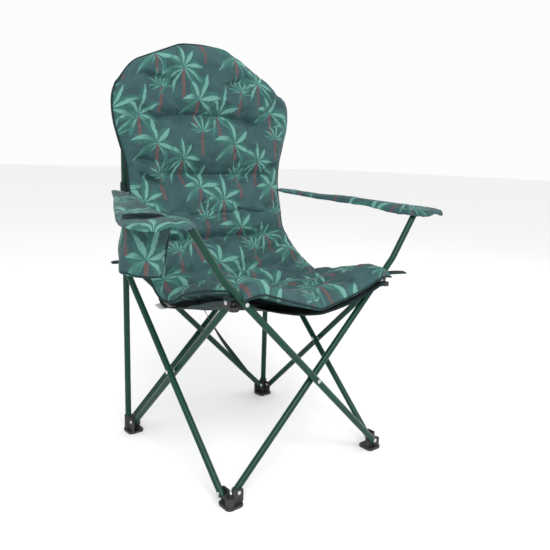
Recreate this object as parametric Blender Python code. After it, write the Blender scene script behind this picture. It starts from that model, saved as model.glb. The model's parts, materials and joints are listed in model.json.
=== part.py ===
"""Folding camp chair: four scissor pairs of steel tube between moulded feet, sliders and corner
joints, with a padded sling seat and back, two fabric armrests and a cup holder.

Metres, +Z up. The sitter faces -Y and the sitter's left is +X. The origin is on the ground under
the middle of the whole chair. The pieces are drawn about the middle of the four feet and moved
at the end, because the armrests reach further forward than anything reaches back, and the right
one, which holds the cup, reaches further out than the left one. The frame repeats four times
about Z: each side has an outer tube that rises from one foot and an inner tube that rises from
the next one.
"""
import math

import bmesh
import bpy
from mathutils import Matrix, Vector

for old in list(bpy.data.objects):
    bpy.data.objects.remove(old, do_unlink=True)

# ---- driving dimensions ----
PIN_SPAN = 0.436          # between the low pins of one side, and between its high pins
PIN_LOW = 0.0316          # height of the pins in the feet
PIN_HIGH = 0.4592         # height of the pins in the sliders and the front corners, chair open
CORNER = 0.240            # x and y of the uprights and of the corners of the frame
TUBE_R = 0.008
TUBE_WALL = 0.0009
TUBE_SIDES = 16
TUBE_OVERHANG = 0.008     # tube beyond its end pins
TUBE_GAP = 0.003          # between the two tubes of a scissor pair, filled by a washer
UPRIGHT_BOTTOM = 0.0085
UPRIGHT_TOP = 0.895
ARM_BEND_AT = 0.076       # along a front tube from its high pin to the bend
ARM_BEND = math.radians(10.6)
ARM_BEND_R = 0.060
ARM_TOP = 0.622           # height of the end of an arm tube
GAP = 0.0003              # between pieces that touch
RIVET_R = 0.0026
HOLE_R = 0.0031
HEAD_R = 0.0052
EAR_T = 0.005             # ears of the moulded joints
EAR_REACH = 0.034         # from the corner to the far edge of an ear, past its pin
FEET_AT = (0.0230, 0.0262, 0.0)         # middle of the four feet, from the origin
FOOT_SIZE = 0.044
FOOT_PLATE = 0.007
SLEEVE_R = 0.0105         # sleeves of the moulded joints round an upright
SLEEVE_BORE = 0.0085
PAD_T = 0.018
SHEET_T = 0.0025
ARM_T = 0.010
CUP_AT = (-0.418, -0.195)
CUP_R = 0.047
CUP_TOP = 0.6265
CUP_BOTTOM = 0.520
CUP_WALL = 0.003
CUP_HOLE_R = 0.037

HALF = PIN_SPAN / 2
PAIR = (2 * TUBE_R + TUBE_GAP) / 2                # a tube's centre plane from the corner plane
OUTER, INNER = CORNER + PAIR, CORNER - PAIR
SIDES = ("left", "rear", "right", "front")        # each a quarter turn on from the one before
CORNER_NAMES = ("left_rear", "right_rear", "right_front", "left_front")


# ---- materials ----
def material(name, colour, roughness, metallic=0.0):
    mat = bpy.data.materials.new(name)
    mat.use_nodes = True
    shader = mat.node_tree.nodes["Principled BSDF"]
    shader.inputs["Base Color"].default_value = (*colour, 1.0)
    shader.inputs["Roughness"].default_value = roughness
    shader.inputs["Metallic"].default_value = metallic
    return mat


GREEN_PAINT = material("green_powder_coat", (0.010, 0.070, 0.050), 0.30)
BLACK_PLASTIC = material("black_plastic", (0.012, 0.012, 0.013), 0.50)
BRIGHT_STEEL = material("bright_steel", (0.62, 0.62, 0.60), 0.30, 1.0)
PRINT_FABRIC = material("palm_print_fabric", (0.060, 0.150, 0.145), 0.85)
PLAIN_FABRIC = material("plain_dark_fabric", (0.020, 0.060, 0.055), 0.85)
BLACK_WEBBING = material("black_webbing", (0.010, 0.012, 0.012), 0.90)
WHITE_LABEL = material("white_label", (0.75, 0.75, 0.73), 0.70)


# ---- helpers ----
def quarter_turn(index):
    return Matrix.Rotation(index * math.pi / 2, 4, "Z")


def add_object(name, bm, mat, origin=(0, 0, 0), turn=None):
    """Make an object from a mesh in world coordinates, turned about Z, with an origin of its own."""
    if turn is not None:
        bmesh.ops.transform(bm, matrix=turn, verts=bm.verts)
        origin = turn @ Vector(origin)
    origin = Vector(origin)
    bmesh.ops.translate(bm, vec=-origin, verts=bm.verts)
    bm.normal_update()
    bmesh.ops.recalc_face_normals(bm, faces=bm.faces)
    mesh = bpy.data.meshes.new(name)
    bm.to_mesh(mesh)
    bm.free()
    mesh.materials.append(mat)
    mesh.shade_smooth()
    mesh.set_sharp_from_angle(angle=math.radians(35))
    obj = bpy.data.objects.new(name, mesh)
    obj.location = origin
    bpy.context.scene.collection.objects.link(obj)
    return obj


def frame_along(point, direction):
    """Matrix whose Z axis runs along the direction, at the point."""
    return Matrix.Translation(point) @ Vector(direction).to_track_quat("Z", "Y").to_matrix().to_4x4()


def circle(bm, radius, sides):
    """Edges of a circle about Z."""
    made = bmesh.ops.create_circle(bm, segments=sides, radius=radius)
    return list({edge for vert in made["verts"] for edge in vert.link_edges})


def turned(bm, profile, matrix, sides, close_ends=True):
    """Round body from (radius, height) pairs along the matrix's Z axis: solid, or else a closed ring."""
    points = list(profile)
    if close_ends:
        points = [(0, profile[0][1])] + points + [(0, profile[-1][1])]
    verts = [bm.verts.new((r, 0, z)) for r, z in points]
    edges = [bm.edges.new(pair) for pair in zip(verts, verts[1:])]
    if not close_ends:
        edges.append(bm.edges.new((verts[-1], verts[0])))
    before = set(bm.verts) - set(verts)
    bmesh.ops.spin(bm, geom=verts + edges, cent=(0, 0, 0), axis=(0, 0, 1), angle=2 * math.pi,
                   steps=sides, use_merge=True)
    made = [vert for vert in bm.verts if vert not in before]
    bmesh.ops.remove_doubles(bm, verts=made, dist=1e-6)
    made = [vert for vert in bm.verts if vert not in before]
    bmesh.ops.transform(bm, matrix=matrix, verts=made)


def box(bm, low, high):
    """Box between two opposite corners."""
    low, high = Vector(low), Vector(high)
    size = high - low
    matrix = Matrix.Translation((low + high) / 2) @ Matrix.Diagonal((*size, 1.0))
    return bmesh.ops.create_cube(bm, size=1.0, matrix=matrix)["verts"]


def combine(obj, other, operation):
    """Cut the other object from this one, or join it on."""
    other.hide_render = True
    other.display_type = "WIRE"
    change = obj.modifiers.new(operation.lower(), "BOOLEAN")
    change.operation = operation
    change.solver = "EXACT"
    change.object = other


def pin_cutter(name, places, axis, reach, turn):
    """Round cutters for the pin holes of one tube or joint."""
    bm = bmesh.new()
    for place in places:
        matrix = frame_along(place, axis)
        turned(bm, ((HOLE_R, -reach), (HOLE_R, reach)), matrix, 10)
    return add_object(name, bm, BRIGHT_STEEL, turn=turn)


def extrude_along(bm, front, places):
    """Extrude the faces of an end from the first place to each next one, leaving a closed solid."""
    for index in range(1, len(places)):
        moved = bmesh.ops.extrude_face_region(bm, geom=front, use_keep_orig=index == 1)["geom"]
        if index > 1:
            bmesh.ops.delete(bm, geom=[face for face in front if face.is_valid], context="FACES_ONLY")
        front = [item for item in moved if isinstance(item, bmesh.types.BMFace)]
        step = places[index] @ places[index - 1].inverted()
        verts = [item for item in moved if isinstance(item, bmesh.types.BMVert)]
        bmesh.ops.transform(bm, matrix=step, verts=verts)


def tube_mesh(path, sides=TUBE_SIDES):
    """Open-ended tube: its ring-shaped end is drawn once and extruded from point to point."""
    bm = bmesh.new()
    path = [Vector(p) for p in path]
    steps = [(b - a).normalized() for a, b in zip(path, path[1:])]
    ways = [steps[0]] + [(a + b).normalized() for a, b in zip(steps, steps[1:])] + [steps[-1]]
    places = [frame_along(point, way) for point, way in zip(path, ways)]
    outer = circle(bm, TUBE_R, sides)
    inner = circle(bm, TUBE_R - TUBE_WALL, sides)
    front = bmesh.ops.bridge_loops(bm, edges=outer + inner)["faces"]
    bmesh.ops.transform(bm, matrix=places[0], verts=bm.verts)
    extrude_along(bm, front, places)
    return bm


# ---- scissor tubes, drawn on the left side and turned to the other three ----
def low_pin(sign, plane):
    return Vector((plane, sign * HALF, PIN_LOW))


def high_pin(sign, plane):
    return Vector((plane, sign * HALF, PIN_HIGH))


def scissor_tube(name, plane, low_sign, turn, has_arm):
    """A tube that rises from the low pin on one side to the high pin on the other."""
    low, high = low_pin(low_sign, plane), high_pin(-low_sign, plane)
    way = (high - low).normalized()
    path = [low - way * TUBE_OVERHANG]
    if has_arm:
        path += arm_path(high, way)
    else:
        path.append(high + way * TUBE_OVERHANG)
    tube = add_object(name, tube_mesh(path), GREEN_PAINT, origin=low, turn=turn)
    pins = [low, (low + high) / 2, high]
    combine(tube, pin_cutter(name + "_pin_cutter", pins, (1, 0, 0), 0.02, turn), "DIFFERENCE")
    return tube


def arm_path(high, way):
    """The bend above the seat corner and the straight arm support beyond it."""
    bend = high + way * ARM_BEND_AT
    steeper = Matrix.Rotation(math.copysign(ARM_BEND, way.y), 3, "X")
    arm_way = steeper @ way
    reach = ARM_BEND_R * math.tan(ARM_BEND / 2)
    start = bend - way * reach
    centre = start + (arm_way - way * arm_way.dot(way)).normalized() * ARM_BEND_R
    points = []
    steps = 4
    for index in range(steps + 1):
        part = Matrix.Rotation(math.copysign(ARM_BEND, way.y) * index / steps, 3, "X")
        points.append(centre + part @ (start - centre))
    top = bend + arm_way * ((ARM_TOP - bend.z) / arm_way.z)
    return points + [top]


def arm_end(plane, low_sign):
    """End point and direction of an arm tube on the left side, before its turn."""
    low, high = low_pin(low_sign, plane), high_pin(-low_sign, plane)
    path = arm_path(high, (high - low).normalized())
    return path[-1], (path[-1] - path[-2]).normalized()


def rivet(name, place, low, high, turn, collar=None):
    """Rivet along X from its head at low to its tail at high, with an optional washer between."""
    head = [(HEAD_R * 0.42, 0.0022), (HEAD_R * 0.85, 0.0015), (HEAD_R, 0), (RIVET_R, 0)]
    profile = [(radius, low - rise) for radius, rise in head]
    if collar:
        profile += [(RIVET_R, collar[0]), (HEAD_R, collar[0]), (HEAD_R, collar[1]), (RIVET_R, collar[1])]
    profile += [(radius, high + rise) for radius, rise in reversed(head)]
    bm = bmesh.new()
    turned(bm, profile, frame_along(Vector((0, place.y, place.z)), (1, 0, 0)), 10)
    return add_object(name, bm, BRIGHT_STEEL, origin=place, turn=turn)


for index, side in enumerate(SIDES):
    turn = quarter_turn(index)
    scissor_tube(side + "_outer_tube", OUTER, 1, turn, side == "front")
    scissor_tube(side + "_inner_tube", INNER, -1, turn, side == "front")
    inner_face, outer_face = INNER - TUBE_R - GAP, OUTER + TUBE_R + GAP
    washer = (INNER + TUBE_R + GAP, OUTER - TUBE_R - GAP)
    outer_ear = OUTER - TUBE_R - GAP - EAR_T - GAP
    inner_ear = INNER + TUBE_R + GAP + EAR_T + GAP
    crossing = Vector((CORNER, 0, (PIN_LOW + PIN_HIGH) / 2))
    rivet(side + "_cross_rivet", crossing, inner_face, outer_face, turn, washer)
    rivet(side + "_outer_low_rivet", low_pin(1, OUTER), outer_ear, outer_face, turn)
    rivet(side + "_outer_high_rivet", high_pin(-1, OUTER), outer_ear, outer_face, turn)
    rivet(side + "_inner_low_rivet", low_pin(-1, INNER), inner_face, inner_ear, turn)
    rivet(side + "_inner_high_rivet", high_pin(1, INNER), inner_face, inner_ear, turn)

# ---- uprights ----
for side, sign in (("left", 1), ("right", -1)):
    spot = Vector((sign * CORNER, CORNER, 0))
    upright = tube_mesh([spot + Vector((0, 0, UPRIGHT_BOTTOM)), spot + Vector((0, 0, UPRIGHT_TOP))])
    add_object(side + "_upright", upright, GREEN_PAINT, origin=spot)
    plug = bmesh.new()
    turned(plug, ((0.0064, -0.018), (0.0067, -0.015), (0.0067, GAP), (0.0082, GAP), (0.0082, 0.003),
                  (0.0058, 0.0058), (0.0030, 0.0066)),
           Matrix.Translation(spot + Vector((0, 0, UPRIGHT_TOP))), 16)
    add_object(side + "_upright_plug", plug, BLACK_PLASTIC, origin=spot + Vector((0, 0, UPRIGHT_TOP)))


# ---- moulded joints, drawn at the left rear corner and turned to the others ----
def ear(name, plane, bottom, top, along, turn):
    """Ear across X, from the sleeve to beyond its pin, with round corners; across Y, its mirror."""
    bm = bmesh.new()
    low = (plane, CORNER - EAR_REACH, bottom)
    high = (plane + EAR_T, CORNER - SLEEVE_R * 0.55, top)
    verts = box(bm, low, high)
    corners = [edge for vert in verts for edge in vert.link_edges
               if all(abs(v.co.y - low[1]) < 1e-6 for v in edge.verts)
               and abs(edge.verts[0].co.x - edge.verts[1].co.x) > 1e-6]
    bmesh.ops.bevel(bm, geom=list(set(corners)), offset=0.007, segments=3, profile=0.5,
                    affect="EDGES", material=-1)
    if along == "Y":
        swap = Matrix(((0, 1, 0, 0), (1, 0, 0, 0), (0, 0, 1, 0), (0, 0, 0, 1)))
        bmesh.ops.transform(bm, matrix=swap, verts=bm.verts)
    return add_object(name, bm, BLACK_PLASTIC, turn=turn)


def joint_body(name, outer_along, bottom, top, pin_height, core, turn):
    """A moulded joint: a core with two ears at right angles, bored for its pins."""
    inner_along = "Y" if outer_along == "X" else "X"
    outer_plane = OUTER - TUBE_R - GAP - EAR_T
    inner_plane = INNER + TUBE_R + GAP
    body = add_object(name, core, BLACK_PLASTIC, origin=(CORNER, CORNER, pin_height), turn=turn)
    combine(body, ear(name + "_ear_a", outer_plane, bottom, top, outer_along, turn), "UNION")
    combine(body, ear(name + "_ear_b", inner_plane, bottom, top, inner_along, turn), "UNION")
    for tag, along in (("a", outer_along), ("b", inner_along)):
        spot = (CORNER, HALF, pin_height) if along == "X" else (HALF, CORNER, pin_height)
        axis = (1, 0, 0) if along == "X" else (0, 1, 0)
        combine(body, pin_cutter(name + "_pin_" + tag, [Vector(spot)], axis, 0.012, turn), "DIFFERENCE")
    return body


def bore_cutter(name, low, high, turn):
    bm = bmesh.new()
    turned(bm, ((SLEEVE_BORE, low), (SLEEVE_BORE, high)), Matrix.Translation((CORNER, CORNER, 0)), 16)
    return add_object(name, bm, BRIGHT_STEEL, turn=turn)


FOOT_TOP = PIN_LOW + 0.010
FOOT_CENTRE = CORNER - 0.010
for index, corner in enumerate(CORNER_NAMES):
    turn = quarter_turn(index)
    name = corner + "_foot"
    is_rear = "rear" in corner
    core = bmesh.new()
    near, far = FOOT_CENTRE - FOOT_SIZE / 2, FOOT_CENTRE + FOOT_SIZE / 2
    plate = box(core, (near, near, 0), (far, far, FOOT_PLATE))
    corners = [e for v in plate for e in v.link_edges if abs(e.verts[0].co.z - e.verts[1].co.z) > 1e-6]
    bmesh.ops.bevel(core, geom=list(set(corners)), offset=0.009, segments=2, profile=0.5,
                    affect="EDGES", material=-1)
    foot = joint_body(name, "X", FOOT_PLATE - 0.002, FOOT_TOP, PIN_LOW, core, turn)
    post = bmesh.new()
    post_top = PIN_LOW + 0.014 if is_rear else PIN_LOW - 0.004
    turned(post, ((SLEEVE_R, 0.003), (SLEEVE_R, post_top)), Matrix.Translation((CORNER, CORNER, 0)), 16)
    combine(foot, add_object(name + "_post", post, BLACK_PLASTIC, turn=turn), "UNION")
    if is_rear:
        combine(foot, bore_cutter(name + "_bore", UPRIGHT_BOTTOM - GAP, 0.08, turn), "DIFFERENCE")
        core = bmesh.new()
        turned(core, ((SLEEVE_R, PIN_HIGH - 0.016), (SLEEVE_R, PIN_HIGH + 0.016)),
               Matrix.Translation((CORNER, CORNER, 0)), 16)
        name = corner + "_slider"
        slider = joint_body(name, "Y", PIN_HIGH - 0.0145, PIN_HIGH + 0.010, PIN_HIGH, core, turn)
        combine(slider, bore_cutter(name + "_bore", PIN_HIGH - 0.05, PIN_HIGH + 0.05, turn), "DIFFERENCE")
    else:
        core = bmesh.new()
        turned(core, ((SLEEVE_R, PIN_HIGH - 0.0145), (SLEEVE_R, PIN_HIGH - 0.0045)),
               Matrix.Translation((CORNER - 0.002, CORNER - 0.002, 0)), 16)
        joint_body(corner + "_corner", "Y", PIN_HIGH - 0.0140, PIN_HIGH + 0.0058, PIN_HIGH, core, turn)

# ---- plates under the armrests, one on each arm tube ----
for name, plane, low_sign in (("right_arm_plate", OUTER, 1), ("left_arm_plate", INNER, -1)):
    turn = quarter_turn(SIDES.index("front"))
    end, way = arm_end(plane, low_sign)
    disc = bmesh.new()
    turned(disc, ((0.026, 0.0052), (0.026, 0.0070), (0.024, 0.0078)), Matrix.Translation(end), 20)
    plate = add_object(name, disc, BLACK_PLASTIC, origin=end, turn=turn)
    plug = bmesh.new()
    turned(plug, ((0.0058, -0.020), (0.0066, -0.017), (0.0066, 0.0055)), frame_along(end, way), 16)
    combine(plate, add_object(name + "_plug", plug, BLACK_PLASTIC, turn=turn), "UNION")


# ---- fabric ----
def blend_rows(rows, v):
    """Values of the rows' columns at v, from 0 at the first row to 1 at the last."""
    spot = v * (len(rows) - 1)
    index = min(int(spot), len(rows) - 2)
    share = spot - index
    return [a + (b - a) * share for a, b in zip(rows[index], rows[index + 1])]


def sheet(name, place, across, along, thickness, mat, origin=(0, 0, 0)):
    """Closed solid of even thickness about the surface place(u, v), u and v from 0 to 1."""
    bm = bmesh.new()
    bmesh.ops.create_grid(bm, x_segments=across, y_segments=along, size=0.5)
    for vert in bm.verts:
        vert.co = place(vert.co.x + 0.5, vert.co.y + 0.5)
    obj = add_object(name, bm, mat, origin=origin)
    shell = obj.modifiers.new("thickness", "SOLIDIFY")
    shell.thickness = thickness
    shell.offset = 0.0
    shell.use_even_offset = True
    return obj


# half width, y and z at the edge, z at the middle, and how far the middle lies behind the edge
BACK_ROWS = (
    (0.245, 0.190, 0.597, 0.597, 0.012),
    (0.245, 0.207, 0.690, 0.690, 0.014),
    (0.256, 0.212, 0.755, 0.760, 0.012),
    (0.271, 0.215, 0.815, 0.830, 0.010),
    (0.279, 0.217, 0.865, 0.900, 0.008),
    (0.277, 0.217, 0.910, 0.975, 0.004),
    (0.266, 0.217, 0.9415, 1.0360, 0.000),
)
LUMBAR_ROWS = (
    (0.240, 0.008, 0.436, 0.402, 0.000),
    (0.242, 0.078, 0.467, 0.440, 0.002),
    (0.244, 0.140, 0.510, 0.494, 0.006),
    (0.245, 0.180, 0.550, 0.546, 0.010),
    (0.245, 0.189, 0.592, 0.592, 0.012),
)
SEAT_ROWS = (
    (0.215, -0.262, 0.482, 0.424, 0.000),
    (0.218, -0.214, 0.484, 0.424, 0.000),
    (0.236, -0.146, 0.471, 0.414, 0.000),
    (0.240, -0.074, 0.453, 0.404, 0.000),
    (0.240, -0.008, 0.433, 0.399, 0.000),
)
BASE_ROWS = (
    (0.196, -0.258, 0.462, 0.402, 0.000),
    (0.215, -0.190, 0.456, 0.392, 0.000),
    (0.236, -0.110, 0.430, 0.378, 0.000),
    (0.240, -0.040, 0.408, 0.366, 0.000),
    (0.240, 0.030, 0.400, 0.362, 0.000),
    (0.240, 0.085, 0.404, 0.372, 0.000),
    (0.234, 0.130, 0.434, 0.404, 0.000),
    (0.226, 0.160, 0.468, 0.446, 0.000),
)
CREASE = (0.0, 0.0, 0.412)
LUMBAR_PIVOT = (0.0, 0.1002, 0.6091)


def panel(rows, power):
    def place(u, v):
        half, y, z_edge, z_middle, behind = blend_rows(rows, v)
        side = 2 * u - 1
        spread = abs(side) ** power
        return Vector((side * half, y + behind * (1 - spread), z_middle + (z_edge - z_middle) * spread))
    return place


sheet("back_pad", panel(BACK_ROWS, 2.2), 8, 9, PAD_T, PRINT_FABRIC)
sheet("lumbar_pad", panel(LUMBAR_ROWS, 2.0), 6, 6, PAD_T, PRINT_FABRIC, origin=LUMBAR_PIVOT)
sheet("seat_pad", panel(SEAT_ROWS, 1.8), 8, 4, PAD_T, PRINT_FABRIC, origin=CREASE)
sheet("seat_base", panel(BASE_ROWS, 1.8), 8, 7, SHEET_T, PLAIN_FABRIC, origin=CREASE)

# y, inner x, outer x and height of an armrest, from the upright to the front: the right one is
# wider there, for its cup
RIGHT_ARM_ROWS = (
    (0.2240, 0.253, 0.284, 0.661),
    (0.1200, 0.266, 0.330, 0.655),
    (0.0000, 0.310, 0.385, 0.650),
    (-0.1200, 0.338, 0.438, 0.644),
    (-0.2000, 0.338, 0.470, 0.640),
    (-0.2620, 0.328, 0.480, 0.637),
    (-0.3120, 0.372, 0.455, 0.634),
)
LEFT_ARM_ROWS = (
    (0.2240, 0.253, 0.284, 0.661),
    (0.1200, 0.266, 0.325, 0.655),
    (0.0000, 0.305, 0.368, 0.650),
    (-0.1200, 0.325, 0.405, 0.644),
    (-0.2000, 0.326, 0.428, 0.640),
    (-0.2450, 0.328, 0.432, 0.638),
    (-0.2800, 0.345, 0.408, 0.636),
)
ARM_PIVOT = (CORNER, CORNER, 0.660)
LOOP_LOW = 0.6558         # just above a slider when the chair is folded
LOOP_HIGH = 0.6850


def armrest(side, sign, rows):
    def place(u, v):
        y, inner, outer, z = blend_rows(rows, v)
        return Vector((sign * (inner + (outer - inner) * u), y, z))
    pivot = (sign * ARM_PIVOT[0], ARM_PIVOT[1], ARM_PIVOT[2])
    loop = bmesh.new()
    inside = SLEEVE_BORE + 0.0001
    turned(loop, ((SLEEVE_R, LOOP_LOW), (SLEEVE_R, LOOP_HIGH), (inside, LOOP_HIGH), (inside, LOOP_LOW)),
           Matrix.Translation((pivot[0], pivot[1], 0)), 16, close_ends=False)
    add_object(side + "_arm_loop", loop, BLACK_WEBBING, origin=pivot)
    return sheet(side + "_armrest", place, 3, 9, ARM_T, PRINT_FABRIC, origin=pivot)


armrest("left", 1, LEFT_ARM_ROWS)
right_armrest = armrest("right", -1, RIGHT_ARM_ROWS)
hole = bmesh.new()
turned(hole, ((CUP_HOLE_R, 0.60), (CUP_HOLE_R, 0.70)), Matrix.Translation((*CUP_AT, 0)), 20)
combine(right_armrest, add_object("cup_hole_cutter", hole, BRIGHT_STEEL), "DIFFERENCE")

cup = bmesh.new()
turned(cup, ((CUP_R - 0.004, CUP_BOTTOM), (CUP_R, CUP_BOTTOM + 0.006), (CUP_R, CUP_TOP),
             (CUP_R - CUP_WALL, CUP_TOP), (CUP_R - CUP_WALL, CUP_BOTTOM + 0.008),
             (CUP_R - CUP_WALL - 0.004, CUP_BOTTOM + CUP_WALL)),
       Matrix.Translation((*CUP_AT, 0)), 20)
add_object("cup_holder", cup, PRINT_FABRIC, origin=(*CUP_AT, CUP_TOP))

for side, sign in (("left", 1), ("right", -1)):
    spot = Vector((sign * CORNER, CORNER, 0))
    pocket = bmesh.new()
    turned(pocket, ((0.0115, 0.812), (0.0115, 0.908), (0.0070, 0.912)), Matrix.Translation(spot), 16)
    pocket = add_object(side + "_top_pocket", pocket, PRINT_FABRIC, origin=spot)
    bore = bmesh.new()
    turned(bore, ((0.0092, 0.80), (0.0092, 0.905)), Matrix.Translation(spot), 16)
    combine(pocket, add_object(side + "_top_pocket_bore", bore, BRIGHT_STEEL), "DIFFERENCE")

# ---- closing strap from the seat's underside to the left rear foot, and a blank label ----
STRAP_W = 0.012
STRAP_T = 0.0014
STRAP_START = (-0.085, 0.100, 0.352)
STRAP_END = (0.211, 0.207, 0.016)
STRAP_SAG = 0.012
STRAP_STEPS = 8


def strap(name, start, end, sag, width, thickness, mat):
    """Flat webbing that hangs in one upright plane, its width level, so that its faces are flat."""
    start, end = Vector(start), Vector(end)
    level = (end - start).cross(Vector((0, 0, 1))).normalized()
    way = (end - start).normalized()
    down = level.cross(way)
    if down.z > 0:
        down = -down
    bm = bmesh.new()
    turn = Matrix((level, down, way)).transposed().to_4x4()
    shape = Matrix.Diagonal((width, thickness, 1, 1))
    face = bmesh.ops.create_grid(bm, x_segments=1, y_segments=1, size=0.5,
                                 matrix=Matrix.Translation(start) @ turn @ shape)["verts"]
    places = []
    for index in range(STRAP_STEPS + 1):
        share = index / STRAP_STEPS
        point = start.lerp(end, share) + down * sag * 4 * share * (1 - share)
        places.append(Matrix.Translation(point))
    extrude_along(bm, list(face[0].link_faces), places)
    return add_object(name, bm, mat, origin=end)


strap("closing_strap", STRAP_START, STRAP_END, STRAP_SAG, STRAP_W, STRAP_T, BLACK_WEBBING)

label = bmesh.new()
box(label, (-0.236, 0.022, 0.3885), (-0.206, 0.072, 0.3895))
add_object("blank_label", label, WHITE_LABEL, origin=CREASE)

# ---- the origin moves to the middle of the whole chair ----
for obj in bpy.context.scene.collection.objects:
    obj.location += Vector(FEET_AT)
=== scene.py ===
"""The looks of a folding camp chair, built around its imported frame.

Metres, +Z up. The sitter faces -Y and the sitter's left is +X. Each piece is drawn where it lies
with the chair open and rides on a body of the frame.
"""
import json
import math
from typing import NamedTuple

import bmesh
import bpy
import numpy as np
from mathutils import Matrix, Vector, noise


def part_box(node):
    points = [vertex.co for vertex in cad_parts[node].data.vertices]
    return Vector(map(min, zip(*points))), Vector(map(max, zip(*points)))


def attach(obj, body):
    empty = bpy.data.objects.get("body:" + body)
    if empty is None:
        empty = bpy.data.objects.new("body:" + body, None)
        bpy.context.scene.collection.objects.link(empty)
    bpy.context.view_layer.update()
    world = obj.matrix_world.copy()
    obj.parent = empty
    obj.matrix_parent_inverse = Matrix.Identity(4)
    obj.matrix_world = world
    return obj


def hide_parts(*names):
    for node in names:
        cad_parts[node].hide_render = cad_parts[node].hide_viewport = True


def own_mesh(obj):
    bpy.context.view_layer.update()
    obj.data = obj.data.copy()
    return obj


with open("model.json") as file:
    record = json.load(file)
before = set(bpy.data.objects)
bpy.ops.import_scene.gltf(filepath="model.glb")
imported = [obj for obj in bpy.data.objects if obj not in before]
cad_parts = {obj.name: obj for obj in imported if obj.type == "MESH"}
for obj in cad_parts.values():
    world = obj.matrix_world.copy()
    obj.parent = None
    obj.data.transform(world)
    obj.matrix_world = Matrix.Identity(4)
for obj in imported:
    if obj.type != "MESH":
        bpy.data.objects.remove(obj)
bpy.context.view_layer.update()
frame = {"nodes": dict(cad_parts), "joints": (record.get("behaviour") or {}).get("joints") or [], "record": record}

bl_info = {
    "name": "Folding Camp Chair",
    "version": (1, 0, 0),
    "blender": (4, 5, 0),
    "location": "3D View > Sidebar > Camp Chair",
    "description": "Tubes, moulded joints, padded palm-print fabric and a studio for a folding camp chair",
    "category": "Add Mesh",
}

# ---- what the frame says ----
JOINTS = {joint["name"]: joint for joint in frame["joints"]}
BODY_OF = {node: body for body, nodes in frame["record"]["behaviour"]["bodies"].items() for node in nodes}


def round_box(node):
    """Middle of a node's box, and half its width across the chair."""
    low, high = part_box(node)
    return (low + high) / 2, (high.x - low.x) / 2


RIGHT_POST, _ = round_box("right_upright")
LEFT_POST, TUBE_R = round_box("left_upright")
CORNER = (LEFT_POST.x - RIGHT_POST.x) / 2                   # an upright from the middle of the feet
FEET_AT = Vector((LEFT_POST.x - CORNER, LEFT_POST.y - CORNER, 0))  # that middle, from the origin
MAIN_PIN = Vector(JOINTS["frame_fold"]["pos_m"])
SLIDER_PIN = Vector(JOINTS["left_rear_slider_turn"]["pos_m"])
PIN_LOW, PIN_HIGH, HALF = MAIN_PIN.z, SLIDER_PIN.z, SLIDER_PIN.x - FEET_AT.x
OUTER = SLIDER_PIN.y - FEET_AT.y
INNER = 2 * CORNER - OUTER
ARM_PLATE, _ = round_box("right_arm_plate")
CUP_LOW, CUP_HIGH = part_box("cup_holder")
CUP_AT, CUP_R = round_box("cup_holder")
SIDES = ("left", "rear", "right", "front")                  # each a quarter turn on from the one before


# ---- sizes and colours that can be changed ----
def length(name, words, value):
    return bpy.props.FloatProperty(name=name, description=words, default=value, unit="LENGTH")


def colour(name, words, value):
    return bpy.props.FloatVectorProperty(name=name, description=words, default=value, subtype="COLOR", size=3,
                                         min=0.0, max=1.0)


def power(name, words, value):
    return bpy.props.FloatProperty(name=name, description=words, default=value, unit="POWER")


class ChairSizes(bpy.types.PropertyGroup):
    """Sizes of the chair's tubes and soft parts"""
    tube_sides: bpy.props.IntProperty(name="Tube sides", description="Sides of a round tube", default=40,
                                      min=12)
    tube_wall: length("Tube wall", "Wall of a steel tube", 0.0012)
    pad_edge: length("Pad edge", "Thickness of a pad at its sewn edge", 0.004)
    pad_fill: length("Pad filling", "Thickness of the wadding between seams", 0.023)
    binding: length("Binding", "Width of the tape sewn round an edge", 0.009)
    webbing: length("Webbing", "Width of the closing strap", 0.012)


class ChairColours(bpy.types.PropertyGroup):
    """Colours of the chair, as linear values"""
    ground: colour("Ground", "Ground of the printed fabric", (0.027, 0.075, 0.082))
    shade: colour("Ground shade", "Darker patches of the printed ground", (0.020, 0.059, 0.063))
    leaf: colour("Leaf", "Light side of a printed leaf", (0.130, 0.320, 0.275))
    frond: colour("Frond", "Dark side of a printed leaf", (0.024, 0.112, 0.098))
    trunk: colour("Trunk", "Printed palm trunk", (0.130, 0.062, 0.060))
    binding: colour("Binding", "Tape round the edges", (0.006, 0.022, 0.022))
    plain: colour("Plain fabric", "Plain layer under the seat", (0.009, 0.030, 0.030))
    paint: colour("Tube paint", "Powder coat on the tubes", (0.003, 0.040, 0.025))
    plastic: colour("Plastic", "Moulded joints and feet", (0.010, 0.010, 0.011))


class StageSettings(bpy.types.PropertyGroup):
    """Floor, light and camera"""
    floor: colour("Floor", "Pale floor", (0.90, 0.90, 0.90))
    key_power: power("Key light", "Power of the main light", 110.0)
    fill_power: power("Fill light", "Power of the second light", 25.0)
    backdrop: bpy.props.FloatProperty(name="Backdrop", description="Brightness all round", default=0.98)


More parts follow.
